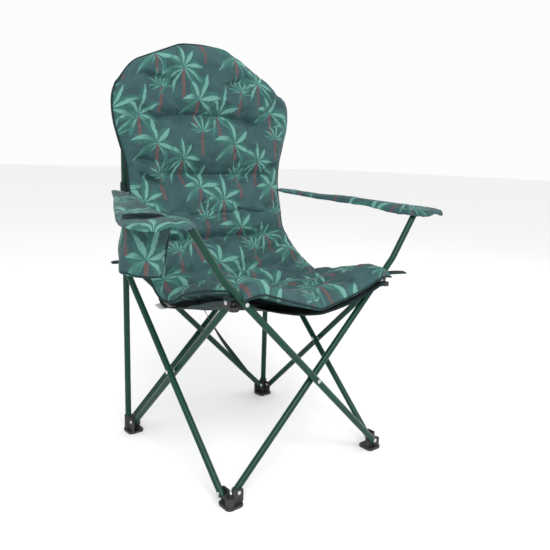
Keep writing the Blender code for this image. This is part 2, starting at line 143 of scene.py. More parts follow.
# ---- materials ----
class Wire:
    """One output of a finish's nodes. Sums and products of wires add Math nodes."""

    def __init__(self, finish, socket):
        self.finish = finish
        self.socket = socket

    def math(self, operation, *values):
        return self.finish.node("ShaderNodeMath", {"operation": operation}, dict(enumerate(values)))

    def __add__(self, other):
        return self.math("ADD", self, other)

    def __radd__(self, other):
        return self.math("ADD", other, self)

    def __sub__(self, other):
        return self.math("SUBTRACT", self, other)

    def __rsub__(self, other):
        return self.math("SUBTRACT", other, self)

    def __mul__(self, other):
        return self.math("MULTIPLY", self, other)

    def __rmul__(self, other):
        return self.math("MULTIPLY", other, self)

    def __truediv__(self, other):
        return self.math("DIVIDE", self, other)

    def __abs__(self):
        return self.math("ABSOLUTE", self)

    def sine(self):
        return self.math("SINE", self)

    def wrap(self, high, low):
        return self.math("WRAP", self, high, low)

    def ramp(self, low, high):
        """0 below low and 1 above high, smooth between."""
        values = {"Value": self, "From Min": low, "From Max": high, "To Min": 0.0, "To Max": 1.0}
        return self.finish.node("ShaderNodeMapRange", {"interpolation_type": "SMOOTHSTEP"}, values)


class Finish:
    """A material and its nodes."""

    def __init__(self, name):
        self.material = bpy.data.materials.new(name)
        self.material.use_nodes = True
        self.tree = self.material.node_tree
        self.shader = self.tree.nodes["Principled BSDF"]

    def feed(self, socket, value):
        if isinstance(value, Wire):
            self.tree.links.new(value.socket, socket)
        else:
            socket.default_value = value

    def node(self, kind, settings=None, inputs=None, output=0):
        made = self.tree.nodes.new(kind)
        for name, value in (settings or {}).items():
            setattr(made, name, value)
        for key, value in (inputs or {}).items():
            self.feed(made.inputs[key], value)
        return Wire(self, made.outputs[output])

    def set(self, **values):
        for name, value in values.items():
            self.feed(self.shader.inputs[name.replace("_", " ").title().replace("Ior", "IOR")], value)
        return self.material

    def place(self):
        """Object coordinates, in metres."""
        return self.node("ShaderNodeTexCoord", output=3)

    def cloth(self):
        """Distances across and up the fabric, in metres."""
        return self.node("ShaderNodeAttribute", {"attribute_name": "cloth"}, output=1)

    def parts(self, vector):
        split = self.node("ShaderNodeSeparateXYZ", inputs={0: vector})
        return [Wire(self, split.socket.node.outputs[axis]) for axis in range(3)]

    def noise(self, vector, scale, detail=2.0, roughness=0.5):
        values = {"Vector": vector, "Scale": scale, "Detail": detail, "Roughness": roughness}
        return self.node("ShaderNodeTexNoise", inputs=values)

    def stretch(self, vector, scale):
        return self.node("ShaderNodeVectorMath", {"operation": "MULTIPLY"}, {0: vector, 1: scale})

    def mix(self, share, low, high):
        """From the low colour to the high one."""
        colours = [value if isinstance(value, Wire) else (*value, 1.0) for value in (low, high)]
        return self.node("ShaderNodeMix", {"data_type": "RGBA"}, {0: share, 6: colours[0], 7: colours[1]}, 2)

    def bump(self, height, distance, strength=1.0, normal=None):
        values = {"Height": height, "Distance": distance, "Strength": strength}
        if normal is not None:
            values["Normal"] = normal
        return self.node("ShaderNodeBump", inputs=values)

    def weave(self, pitch):
        """Height of a plain weave: threads over and under each other."""
        across, up, _ = self.parts(self.cloth())
        turn = 2 * math.pi / pitch
        return (across * turn).sine() * (up * turn).sine()


class Palm(NamedTuple):
    """One palm of the print, in metres and radians."""
    crown: tuple                 # where its leaves meet, in the repeat
    leaves: int                  # how many would fill the whole turn
    reach: float                 # length of a leaf
    width: float                 # about half the width of a leaf
    droop: float                 # how much the leaves bend down, per metre
    spread: float                # how far round they grow, each way from upright
    start: float                 # turn of the first leaf
    trunk: float                 # length of the trunk
    lean: float = 0.0            # how much the trunk leans over
    feather: float = 0.0         # depth of the notches in a leaf's edge


REPEAT = (0.250, 0.240)          # the print repeats this far across and up
PRINT_EDGE = 0.0009              # softness of a printed edge
TRUNK_HALF = 0.0048              # half the width of a trunk
PALMS = (
    Palm((0.030, 0.050), 9, 0.080, 0.0088, 7.0, 2.75, 0.15, 0.078, 0.04, 0.08),
    Palm((0.155, 0.168), 10, 0.076, 0.0082, 8.0, 2.70, 0.50, 0.074, -0.03, 0.08),
    Palm((0.092, 0.122), 13, 0.050, 0.0042, 1.5, 1.80, 0.10, 0.066, 0.02),
    Palm((0.216, 0.004), 12, 0.052, 0.0042, 1.5, 1.75, 0.22, 0.062, -0.02),
    Palm((0.205, 0.086), 8, 0.074, 0.0110, 5.0, 2.50, 0.30, 0.070, 0.03, 0.05),
    Palm((0.075, 0.212), 7, 0.072, 0.0112, 5.0, 2.60, 0.70, 0.066, -0.04, 0.05),
)


def printed_palm(finish, across, up, palm):
    """Masks of a palm's light leaf sides, whole leaves and trunk."""
    x = (across - palm.crown[0]).wrap(REPEAT[0] / 2, -REPEAT[0] / 2)
    y = (up - palm.crown[1]).wrap(REPEAT[1] * 0.36, -REPEAT[1] * 0.64)
    raised = y + x * x * palm.droop
    radius = finish.node("ShaderNodeMath", {"operation": "SQRT"}, {0: x * x + raised * raised})
    angle = finish.node("ShaderNodeMath", {"operation": "ARCTAN2"}, {0: x, 1: raised})
    pitch = 2 * math.pi / palm.leaves
    turned = angle - palm.start
    local = turned.wrap(pitch / 2, -pitch / 2)
    which = (turned - local) / pitch
    length = palm.reach * (0.86 + 0.20 * (which * 5.3 + palm.start * 9).sine())
    along = radius / length
    swell = 3.8 * along * (1.08 - along)
    half = palm.width * swell
    if palm.feather:
        half = half * (1.0 + palm.feather * (along * 34.0 + which).sine())
    side = radius * local
    inside = abs(angle).ramp(palm.spread + 0.05, palm.spread - 0.05)
    leaf = (half - abs(side)).ramp(0.0, PRINT_EDGE) * inside
    bright = (half * 0.50 - abs(side - half * 0.34)).ramp(0.0, PRINT_EDGE) * inside
    bright = bright * (along * 3.0 + which).sine().ramp(-1.4, 0.2)
    trunk_x = abs(x - y * palm.lean)
    thick = TRUNK_HALF * (1.0 + 0.12 * (y * 900.0).sine())
    trunk = (thick - trunk_x).ramp(0.0, PRINT_EDGE) * y.ramp(0.0, -0.006)
    trunk = trunk * y.ramp(-palm.trunk - 0.004, -palm.trunk)
    return bright, leaf, trunk


def palm_print(colours):
    """Woven fabric printed with rows of palms on a slate ground."""
    found = bpy.data.materials.get("palm_print")
    if found:
        return found
    finish = Finish("palm_print")
    cloth = finish.cloth()
    wander = finish.noise(cloth, 38.0, 1.0)
    across, up, _ = finish.parts(cloth)
    across = across + (wander - 0.5) * 0.006
    up = up + (finish.noise(cloth, 31.0, 1.0) - 0.5) * 0.006
    patches = finish.noise(cloth, 22.0, 3.0)
    streaks = finish.noise(finish.stretch(cloth, (260.0, 16.0, 1.0)), 1.0, 2.0)
    surface = finish.mix(patches.ramp(0.35, 0.65), tuple(colours.shade), tuple(colours.ground))
    masks = [printed_palm(finish, across, up, palm) for palm in PALMS]
    rings = (up * 1500.0).sine().ramp(-0.2, 1.0)
    bark = finish.mix(rings * 0.55, tuple(colours.trunk), tuple(value * 0.45 for value in colours.trunk))
    for bright, leaf, trunk in masks:
        surface = finish.mix(trunk * 0.75, surface, bark)
    green = finish.mix(streaks * 0.5, tuple(colours.frond), tuple(value * 0.72 for value in colours.frond))
    light = finish.mix(streaks * 0.6, tuple(colours.leaf), tuple(value * 0.62 for value in colours.leaf))
    for bright, leaf, trunk in masks:
        surface = finish.mix(leaf * 0.88, surface, green)
        surface = finish.mix(bright * 0.90, surface, light)
    weave = finish.weave(0.0011)
    threads = finish.noise(finish.stretch(cloth, (1400.0, 300.0, 1.0)), 1.0, 1.0)
    surface = finish.mix((weave * 0.05 + threads * 0.10), surface, (0.012, 0.035, 0.036))
    creases = finish.noise(finish.stretch(cloth, (30.0, 70.0, 1.0)), 1.0, 4.0, 0.55)
    normal = finish.bump(creases, 0.0055, 0.5)
    normal = finish.bump(weave, 0.00012, 0.5, normal)
    roughness = 0.62 + 0.18 * patches
    return finish.set(base_color=surface, roughness=roughness, normal=normal, sheen_weight=0.04,
                      sheen_roughness=0.45, specular_ior_level=0.28)


def plain_cloth(name, base, pitch):
    """Dark woven cloth without a print."""
    found = bpy.data.materials.get(name)
    if found:
        return found
    finish = Finish(name)
    cloth = finish.cloth()
    weave = finish.weave(pitch)
    patches = finish.noise(cloth, 45.0, 3.0)
    surface = finish.mix(patches.ramp(0.3, 0.7), tuple(value * 0.7 for value in base), tuple(base))
    surface = finish.mix(weave.ramp(-1.0, 1.0) * 0.3, surface, tuple(min(1.0, value * 1.7) for value in base))
    creases = finish.noise(finish.stretch(cloth, (24.0, 60.0, 1.0)), 1.0, 4.0, 0.55)
    normal = finish.bump(creases, 0.003, 0.5)
    normal = finish.bump(weave, 0.00015, 0.6, normal)
    return finish.set(base_color=surface, roughness=0.72 + 0.15 * patches, normal=normal, sheen_weight=0.03,
                      sheen_roughness=0.5, specular_ior_level=0.2)


def tube_paint(colours):
    """Smooth powder coat, a little uneven, with the faint orange peel that it dries with."""
    finish = Finish("green_powder_coat")
    place = finish.place()
    cloudy = finish.noise(place, 14.0, 3.0)
    peel = finish.noise(place, 900.0, 2.0)
    scuffs = finish.noise(finish.stretch(place, (60.0, 60.0, 16.0)), 1.0, 5.0, 0.65)
    base = tuple(colours.paint)
    surface = finish.mix(cloudy.ramp(0.3, 0.7), tuple(value * 0.82 for value in base), base)
    surface = finish.mix(scuffs.ramp(0.70, 0.78) * 0.35, surface, (0.05, 0.13, 0.10))
    normal = finish.bump(peel, 0.00008, 0.5)
    roughness = 0.26 + 0.10 * cloudy + 0.18 * scuffs.ramp(0.66, 0.76)
    return finish.set(base_color=surface, roughness=roughness, normal=normal, specular_ior_level=0.22)


def moulded_plastic(colours):
    """Black nylon with a fine spark-eroded grain, dusty in places."""
    finish = Finish("black_nylon")
    place = finish.place()
    grain = finish.noise(place, 1600.0, 2.0)
    dust = finish.noise(place, 60.0, 5.0, 0.6)
    surface = finish.mix(dust.ramp(0.45, 0.75) * 0.6, tuple(colours.plastic), (0.035, 0.036, 0.037))
    normal = finish.bump(grain, 0.00010, 0.6)
    return finish.set(base_color=surface, roughness=0.42 + 0.22 * dust, normal=normal)


def rivet_steel():
    """Bright zinc-plated steel, with marks from the setting tool."""
    finish = Finish("zinc_plated_steel")
    place = finish.place()
    marks = finish.noise(place, 700.0, 4.0, 0.6)
    surface = finish.mix(marks, (0.62, 0.62, 0.60), (0.42, 0.43, 0.44))
    normal = finish.bump(marks, 0.00015, 0.4)
    return finish.set(base_color=surface, roughness=0.22 + 0.22 * marks, metallic=1.0, normal=normal)


def edge_cloth(colours):
    """Cloth of the tape sewn round the edges."""
    return plain_cloth("edge_tape", colours.binding, 0.0008)


def strap_cloth(colours):
    """Coarse webbing of the straps."""
    return plain_cloth("webbing", colours.binding, 0.0016)


def label_cloth():
    """White satin label, blank."""
    finish = Finish("white_label")
    cloth = finish.cloth()
    ribs = finish.weave(0.0006)
    shade = finish.noise(cloth, 60.0, 3.0)
    surface = finish.mix(shade, (0.74, 0.74, 0.74), (0.60, 0.60, 0.61))
    normal = finish.bump(ribs, 0.0001, 0.4)
    return finish.set(base_color=surface, roughness=0.55 + 0.15 * shade, normal=normal)


# ---- making pieces ----
FABRIC_SHARP = 60                # degrees past which an edge of cloth stays sharp


def moved_back(points):
    """Points given from the middle of the feet, in the frame's own place."""
    return [Vector(point) + FEET_AT for point in points]


def place_along(point, way, side):
    """Matrix at the point whose Z axis runs along the way and whose X axis leans to the side."""
    z = way.normalized()
    x = (side - z * side.dot(z)).normalized()
    turn = Matrix((x, z.cross(x), z)).transposed()
    return Matrix.Translation(point) @ turn.to_4x4()


def places_on(points, sides):
    """A matrix at each point of a path, with a side direction for each."""
    made = []
    for index, point in enumerate(points):
        way = points[min(index + 1, len(points) - 1)] - points[max(index - 1, 0)]
        made.append(place_along(point, way, sides[index]))
    return made


def only(kind, geometry):
    """The verts, edges or faces among an operator's results."""
    return [item for item in geometry if isinstance(item, kind)]


def extrude_along(bm, front, places):
    """Extrude the faces of an end from the first place to each next one, leaving a closed solid."""
    for index in range(1, len(places)):
        moved = bmesh.ops.extrude_face_region(bm, geom=front, use_keep_orig=index == 1)["geom"]
        if index > 1:
            bmesh.ops.delete(bm, geom=[face for face in front if face.is_valid], context="FACES_ONLY")
        front = only(bmesh.types.BMFace, moved)
        step = places[index] @ places[index - 1].inverted()
        bmesh.ops.transform(bm, matrix=step, verts=only(bmesh.types.BMVert, moved))


def turned(bm, profile, matrix, sides, closed=False):
    """Round body from (radius, height) pairs about the matrix's Z axis, or a ring from a closed profile."""
    points = list(profile)
    if not closed:
        points = [(0, profile[0][1])] + points + [(0, profile[-1][1])]
    old = set(bm.verts)
    verts = [bm.verts.new((radius, 0, height)) for radius, height in points]
    edges = [bm.edges.new(pair) for pair in zip(verts, verts[1:])]
    if closed:
        edges.append(bm.edges.new((verts[-1], verts[0])))
    bmesh.ops.spin(bm, geom=verts + edges, cent=(0, 0, 0), axis=(0, 0, 1), angle=2 * math.pi, steps=sides,
                   use_merge=True)
    made = [vert for vert in bm.verts if vert not in old]
    bmesh.ops.remove_doubles(bm, verts=made, dist=1e-6)
    bmesh.ops.transform(bm, matrix=matrix, verts=[vert for vert in bm.verts if vert not in old])


def mark_cloth(mesh, places):
    """Write each point's distances across and up the fabric, for the print and the weave."""
    layer = mesh.attributes.get("cloth") or mesh.attributes.new("cloth", "FLOAT_VECTOR", "POINT")
    layer.data.foreach_set("vector", np.asarray(places, np.float32).ravel())


def object_from(name, bm):
    """An object at the origin that holds the bmesh."""
    mesh = bpy.data.meshes.new(name)
    bm.to_mesh(mesh)
    bm.free()
    made = bpy.data.objects.new(name, mesh)
    bpy.context.scene.collection.objects.link(made)
    return made


def closed_object(name, bm):
    """The same for a closed shape, with its faces turned outwards."""
    bm.normal_update()
    bmesh.ops.recalc_face_normals(bm, faces=bm.faces)
    return object_from(name, bm)


def make_piece(name, bm, material, body, replaced=(), angle=40, cloth=None):
    """Turn a finished bmesh into a piece that rides on a body and stands for some of its nodes."""
    piece = closed_object(name, bm)
    mesh = piece.data
    mesh.materials.append(material)
    mesh.shade_smooth()
    mesh.set_sharp_from_angle(angle=math.radians(angle))
    if cloth is not None:
        mark_cloth(mesh, cloth)
    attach(piece, body)
    if replaced:
        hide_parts(*replaced)
    return piece


def box_cloth(bm):
    """Fabric distances for a small piece: across and up as it hangs."""
    return [(vert.co.x + vert.co.y, vert.co.z, 0.0) for vert in bm.verts]


def smooth_surface(piece):
    """Live subdivision, the same in the view and the render."""
    change = piece.modifiers.new("smooth surface", "SUBSURF")
    change.levels = 1
    change.render_levels = 1


def soft_edges(piece, width, angle):
    """Live bevel of a piece's sharp edges."""
    change = piece.modifiers.new("soft edges", "BEVEL")
    change.width = width
    change.segments = 2
    change.angle_limit = math.radians(angle)
    return change


def tape(name, points, sides, width, thickness, material, body, replaced=(), corners=10):
    """A soft flat tape along the points, its width along the side directions."""
    bm = bmesh.new()
    places = places_on(points, sides)
    disc = bmesh.ops.create_circle(bm, cap_ends=True, segments=corners, radius=0.5)["verts"]
    shape = places[0] @ Matrix.Diagonal((width, thickness, 1.0, 1.0))
    front = list({face for vert in disc for face in vert.link_faces})
    bmesh.ops.transform(bm, matrix=shape, verts=disc)
    extrude_along(bm, front, places)
    return make_piece(name, bm, material, body, replaced, FABRIC_SHARP, box_cloth(bm))


# ---- frame pieces ----
ARM_BEND_AT = 0.076              # along a front tube from its high pin to the bend
ARM_BEND = math.radians(10.6)
ARM_BEND_R = 0.060
BEND_STEPS = 10
OVERHANG = 0.008                 # tube beyond its end pins
ARM_TUBE_TOP = ARM_PLATE.z + 0.0065


def side_matrix(side):
    """From a drawing of the left side, about the feet's middle, to that side of the chair."""
    turn = Matrix.Rotation(SIDES.index(side) * math.pi / 2, 4, "Z")
    return Matrix.Translation(FEET_AT) @ turn


def tube_path(side, plane, low_sign):
    """Middle line of a scissor tube; the front ones go on to the armrests."""
    low = Vector((plane, low_sign * HALF, PIN_LOW))
    high = Vector((plane, -low_sign * HALF, PIN_HIGH))
    way = (high - low).normalized()
    points = [low - way * OVERHANG]
    if side == "front":
        bend = high + way * ARM_BEND_AT
        turn = Matrix.Rotation(math.copysign(ARM_BEND, way.y), 3, "X")
        arm_way = turn @ way
        start = bend - way * ARM_BEND_R * math.tan(ARM_BEND / 2)
        centre = start + (arm_way - way * arm_way.dot(way)).normalized() * ARM_BEND_R
        for index in range(BEND_STEPS + 1):
            part = Matrix.Rotation(math.copysign(ARM_BEND, way.y) * index / BEND_STEPS, 3, "X")
            points.append(centre + part @ (start - centre))
        points.append(bend + arm_way * ((ARM_TUBE_TOP - bend.z) / arm_way.z))
    else:
        points.append(high + way * OVERHANG)
    matrix = side_matrix(side)
    return [matrix @ point for point in points]


def steel_tube(name, points, sizes, material):
    """Hollow round tube with softened ends along the points."""
    bm = bmesh.new()
    sides = [Vector((0, 0, 1)) if abs((points[1] - points[0]).normalized().z) < 0.9 else Vector((1, 0, 0))]
    places = places_on(points, sides * len(points))
    rings = []
    for radius in (TUBE_R, TUBE_R - sizes.tube_wall):
        verts = bmesh.ops.create_circle(bm, segments=sizes.tube_sides, radius=radius)["verts"]
        rings += list({edge for vert in verts for edge in vert.link_edges})
    front = bmesh.ops.bridge_loops(bm, edges=rings)["faces"]
    bmesh.ops.transform(bm, matrix=places[0], verts=bm.verts)
    extrude_along(bm, front, places)
    piece = make_piece(name + "_steel", bm, material, BODY_OF[name], [name], 30)
    soft_edges(piece, 0.0003, 40)


class CHAIR_OT_tubes(bpy.types.Operator):
    """Eight scissor tubes and two uprights of painted steel"""
    bl_idname = "chair.tubes"
    bl_label = "Steel Tubes"

    def execute(self, context):
        sizes = context.scene.chair_sizes
        paint = tube_paint(context.scene.chair_colours)
        for side in SIDES:
            steel_tube(side + "_outer_tube", tube_path(side, OUTER, 1), sizes, paint)
            steel_tube(side + "_inner_tube", tube_path(side, INNER, -1), sizes, paint)
        for name in ("left_upright", "right_upright"):
            middle, _ = round_box(name)
            points = [Vector((middle.x, middle.y, corner.z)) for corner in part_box(name)]
            steel_tube(name, points, sizes, paint)
        return {"FINISHED"}


RIVET_DOME = 0.0022              # height of a rivet's head
RIVET_SHANK_R = 0.0026
DOME_STEPS = 6
WASHER_GAP = 0.0003              # between a crossing's washer and each tube


class CHAIR_OT_rivets(bpy.types.Operator):
    """Domed rivets through the tubes, and the washers between crossing tubes"""
    bl_idname = "chair.rivets"
    bl_label = "Rivets"

    def execute(self, context):
        steel = rivet_steel()
        for node in sorted(name for name in frame["nodes"] if name.endswith("rivet")):
            low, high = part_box(node)
            size = high - low
            way = Vector((1, 0, 0)) if size.x > size.y else Vector((0, 1, 0))
            half = max(size.x, size.y) / 2
            head = size.z / 2
            seat = half - RIVET_DOME
            turns = [step * math.pi / 2 / DOME_STEPS for step in range(DOME_STEPS)]
            dome = [(head * math.cos(turn), math.sin(turn) * RIVET_DOME) for turn in turns]
            profile = [(radius, -seat - rise) for radius, rise in reversed(dome)] + [(RIVET_SHANK_R, -seat)]
            if "cross" in node:
                gap = OUTER - CORNER - TUBE_R - WASHER_GAP
                profile += [(RIVET_SHANK_R, -gap), (head, -gap), (head, gap), (RIVET_SHANK_R, gap)]
            profile += [(RIVET_SHANK_R, seat)] + [(radius, seat + rise) for radius, rise in dome]
            bm = bmesh.new()
            turned(bm, profile, place_along((low + high) / 2, way, Vector((0, 0, 1))), 24)
            make_piece(node + "_steel", bm, steel, BODY_OF[node], [node], 50)
        return {"FINISHED"}


MOULDED = ("_foot", "_slider", "_corner", "_plug", "_plate")
HIDDEN_PLATE = (0.5, 0.5, 0.9)   # scale of an armrest plate, small enough to stay inside its fabric


class CHAIR_OT_mouldings(bpy.types.Operator):
    """Feet, sliders, corner joints, plugs and armrest plates with softened edges"""
    bl_idname = "chair.mouldings"
    bl_label = "Moulded Joints"

    def execute(self, context):
        nylon = moulded_plastic(context.scene.chair_colours)
        for node in sorted(name for name in frame["nodes"] if name.endswith(MOULDED)):
            bm = bmesh.new()
            bm.from_mesh(frame["nodes"][node].data)
            bmesh.ops.remove_doubles(bm, verts=bm.verts, dist=1e-5)
            bmesh.ops.dissolve_limit(bm, angle_limit=math.radians(3), verts=bm.verts, edges=bm.edges)
            if node.endswith("_plate"):                         # sewn inside the armrest
                middle, _ = round_box(node)
                bmesh.ops.scale(bm, vec=HIDDEN_PLATE, space=Matrix.Translation(-middle), verts=bm.verts)
            piece = make_piece(node + "_nylon", bm, nylon, BODY_OF[node], [node], 35)
            soft_edges(piece, 0.0007, 35).harden_normals = True
        return {"FINISHED"}


# ---- padded fabric ----
# half width, y and z at the edge, z at the middle, and how far the middle lies behind the edge
BACK_ROWS = (
    (0.2440, 0.1868, 0.5900, 0.5900, 0.012),
    (0.2450, 0.207, 0.672, 0.674, 0.014),
    (0.2510, 0.212, 0.735, 0.742, 0.012),
    (0.2650, 0.215, 0.785, 0.808, 0.010),
    (0.2770, 0.217, 0.830, 0.872, 0.008),
    (0.2810, 0.218, 0.868, 0.935, 0.005),
    (0.2790, 0.218, 0.895, 0.992, 0.002),
    (0.2700, 0.218, 0.918, 1.042, 0.000),
)
LUMBAR_ROWS = (
    (0.240, 0.004, 0.435, 0.401, 0.000),
    (0.242, 0.078, 0.467, 0.440, 0.002),
    (0.244, 0.140, 0.510, 0.494, 0.006),
    (0.245, 0.178, 0.552, 0.546, 0.010),
    (0.2440, 0.1908, 0.6060, 0.6060, 0.012),
)
SEAT_ROWS = (
    (0.232, -0.262, 0.476, 0.421, 0.000),
    (0.226, -0.214, 0.482, 0.422, 0.000),
    (0.236, -0.146, 0.471, 0.414, 0.000),
    (0.240, -0.074, 0.453, 0.404, 0.000),
    (0.240, 0.002, 0.434, 0.400, 0.000),
)
UNDER_ROWS = (
    (0.218, -0.260, 0.462, 0.408, 0.000),
    (0.222, -0.190, 0.455, 0.401, 0.000),
    (0.236, -0.110, 0.434, 0.391, 0.000),
    (0.240, -0.040, 0.410, 0.380, 0.000),
    (0.238, 0.030, 0.394, 0.374, 0.000),
    (0.232, 0.075, 0.398, 0.378, 0.000),
    (0.220, 0.112, 0.420, 0.398, 0.000),
    (0.206, 0.140, 0.452, 0.428, 0.000),
)
# height of the back's top edge, from one side to the other, as a share of its rise at the middle
TOP_X = (-1.0, -0.93, -0.82, -0.55, -0.33, -0.10, 0.17, 0.42, 0.66, 0.92, 1.0)
TOP_RISE = (0.0, 0.26, 0.52, 0.76, 0.96, 1.0, 0.98, 0.74, 0.46, 0.10, 0.0)
# the same for the seat's wavy front edge
FRONT_X = (-1.0, -0.90, -0.78, -0.54, -0.29, -0.03, 0.24, 0.53, 0.80, 0.92, 1.0)
FRONT_RISE = (0.14, 0.03, -0.04, 0.30, 0.64, 1.0, 0.78, 0.50, 0.10, -0.02, 0.10)


def between(rows, v):
    """The rows' values at v, from 0 at the first row to 1 at the last, on a smooth curve."""
    spot = min(max(v, 0.0), 1.0) * (len(rows) - 1)
    index = min(int(spot), len(rows) - 2)
    t = spot - index
    a, b = rows[index], rows[index + 1]
    before = rows[max(index - 1, 0)]
    after = rows[min(index + 2, len(rows) - 1)]
    result = []
    for p, q, r, s in zip(before, a, b, after):
        result.append(q + 0.5 * t * (r - p + t * (2 * p - 5 * q + 4 * r - s + t * (3 * (q - r) + s - p))))
    return result


def smooth_step(spot, spots, values):
    """Value at a spot between listed ones, eased round each."""
    width = 0.05
    return float(np.mean(np.interp(np.linspace(spot - width, spot + width, 7), spots, values)))


def sling(rows, power, shaped=None, end=1.0, sag=0.0):
    """Surface of a panel hung between its side edges; u runs across and v along it, each 0 to 1.
    One end can have its own shape, as positions across and shares of the rise, and the cup holder's
    side can sag where the seat meets the back."""
    def place(u, v):
        half, y, z_edge, z_middle, behind = between(rows, v)
        side = 2 * u - 1
        spread = abs(side) ** power
        rise = 1 - spread
        if shaped:
            share = (1 - abs(v - end)) ** 2
            rise = rise * (1 - share) + share * smooth_step(side, *shaped)
        z = z_edge + (z_middle - z_edge) * rise - sag * dip(y - 0.065, 0.075) * max(-side, 0) ** 5
        return FEET_AT + Vector((side * half, y + behind * (1 - spread), z))
    return place


def facing(place, u, v):
    """Direction in which the surface faces the sitter."""
    step = 0.004
    across = place(min(u + step, 1), v) - place(max(u - step, 0), v)
    along = place(u, min(v + step, 1)) - place(u, max(v - step, 0))
    return across.cross(along).normalized()


def cloth_grid(place, across, along, start):
    """Distances across and up the fabric at each grid point, in metres, from its middle and a start."""
    points = np.array([[place(i / across, j / along) for i in range(across + 1)] for j in range(along + 1)])
    wide = np.linalg.norm(np.diff(points, axis=1), axis=2)
    left = np.concatenate([np.zeros((along + 1, 1)), np.cumsum(wide, axis=1)], axis=1)
    left -= left[:, across // 2:across // 2 + 1]
    tall = np.linalg.norm(np.diff(points, axis=0), axis=2)
    rise = np.concatenate([np.zeros((1, across + 1)), np.cumsum(tall, axis=0)], axis=0)
    share = 0.35
    rise = rise * share + rise[:, across // 2:across // 2 + 1] * (1 - share)
    return left, rise + start


def double_layer(across, along):
    """Closed double layer over a grid, and each point's place on it: u, v and 1 on the sitter's side."""
    bm = bmesh.new()
    bmesh.ops.create_grid(bm, x_segments=across, y_segments=along, size=0.5)
    made = bmesh.ops.extrude_face_region(bm, geom=bm.faces[:], use_keep_orig=True)["geom"]
    upper = {item for item in made if isinstance(item, bmesh.types.BMVert)}
    spots = [(vert.co.x + 0.5, vert.co.y + 0.5, 1 if vert in upper else 0) for vert in bm.verts]
    return bm, spots


def cloth_marks(place, grid, start, spots):
    """Distances across and up the fabric for each point of a double layer."""
    across, along = grid
    left, rise = cloth_grid(place, across, along, start)
    cells = [(round(v * along), round(u * across)) for u, v, _ in spots]
    return [(left[cell], rise[cell], 0.0) for cell in cells]


def dip(distance, width):
    """1 on a line, falling away to 0 beside it."""
    return math.exp(-(distance / width) ** 2)


def seam_depth(u, v, seam):
    """How deep a sewn line across the panel pulls the wadding in: its place along, reach and sag."""
    at, reach, bow = seam
    side = abs(2 * u - 1)
    fade = 1 - min(max((side - reach) / 0.14, 0.0), 1.0)
    away = v - at - bow * side * side
    return fade * (0.55 * dip(away, 0.050) + 0.43 * dip(away, 0.013))


def crease_depth(spot, start, crease):
    """How deep a loose fold goes at a place on the fabric; folds are short lines in metres."""
    x0, y0, x1, y1, width = crease
    line = Vector((x1 - x0, y1 - y0))
    away = Vector((spot[0] - x0, spot[1] - start - y0))
    share = min(max(away.dot(line) / line.length_squared, 0.0), 1.0)
    return dip((away - line * share).length, width) * math.sin(math.pi * (0.15 + 0.7 * share))


def swell(piece, held, pressure, growth, frames, limit):
    """Let a piece swell as cloth under pressure, held at some points, and keep the shape it takes."""
    group = piece.vertex_groups.new(name="held")
    group.add(held, 1.0, "REPLACE")
    before = np.array([vert.co for vert in piece.data.vertices])
    change = piece.modifiers.new("swell", "CLOTH")
    settings = change.settings
    settings.quality = 6
    settings.mass = 0.12
    settings.tension_stiffness = 18
    settings.compression_stiffness = 14
    settings.shear_stiffness = 6
    settings.bending_stiffness = 0.35
    settings.air_damping = 3
    settings.vertex_group_mass = group.name
    settings.use_pressure = True
    settings.uniform_pressure_force = pressure
    settings.shrink_min = -growth
    settings.effector_weights.gravity = 0
    change.collision_settings.use_collision = False
    change.point_cache.frame_end = frames
    scene = bpy.context.scene
    for number in range(1, frames + 1):
        scene.frame_set(number)
    result = piece.evaluated_get(bpy.context.evaluated_depsgraph_get()).to_mesh()
    after = np.array([vert.co for vert in result.vertices])
    piece.modifiers.remove(change)
    piece.vertex_groups.remove(group)
    scene.frame_set(1)
    move = after - before
    far = np.linalg.norm(move, axis=1, keepdims=True)
    move *= np.minimum(1.0, limit / np.maximum(far, 1e-9))
    piece.data.vertices.foreach_set("co", (before + move).astype(np.float32).ravel())
    piece.data.update()


def crumple(point, scale, stretch, seed):
    """Smooth random height between -1 and 1, longer along one direction."""
    spot = Vector((point[0] * stretch[0], point[1] * stretch[1], seed)) * scale
    return noise.fractal(spot, 0.9, 2.1, 4, noise_basis="PERLIN_ORIGINAL")


RIM_CELLS = 5                    # cells over which the wadding thickens from a panel's edge
UNDER_GRID = (60, 44)            # cells across and along the plain layer under the seat


def padded_panel(name, place, grid, start, sewn, sizes, material, body, replaced, open_ends=(0, 0)):
    """Padded panel of fabric: wadding between seams, swollen as cloth, and crumpled."""
    across, along = grid
    bm, spots = double_layer(across, along)
    marks = cloth_marks(place, grid, start, spots)
    seams, creases = sewn
    half = sizes.pad_edge / 2
    held = []
    for vert, (u, v, layer), mark in zip(bm.verts, spots, marks):
        rim = min(u, 1 - u) * across, min(v + open_ends[0], 1 - v + open_ends[1]) * along
        inward = min(1.0, rim[0] / RIM_CELLS) * min(1.0, rim[1] / RIM_CELLS)
        pinch = max(seam_depth(u, v, seam) for seam in seams)
        pinch = max([pinch] + [0.75 * crease_depth(mark, start, crease) for crease in creases])
        full = math.sqrt(max(inward, 0.0)) * (1 - pinch)
        crease = crumple(mark, 20.0, (0.8, 1.5), 3.1) * 0.0040 * inward
        out = half + sizes.pad_fill * full + crease
        if layer == 0:
            out = -half - sizes.pad_fill * 0.25 * full + crease
        vert.co = place(u, v) + facing(place, u, v) * out
        if layer == 0 or min(rim) < 0.5 or pinch > 0.6:
            held.append(vert.index)
    piece = make_piece(name, bm, material, body, replaced, FABRIC_SHARP, marks)
    swell(piece, held, pressure=3.0, growth=0.035, frames=16, limit=0.008)
    smooth_surface(piece)
    return piece


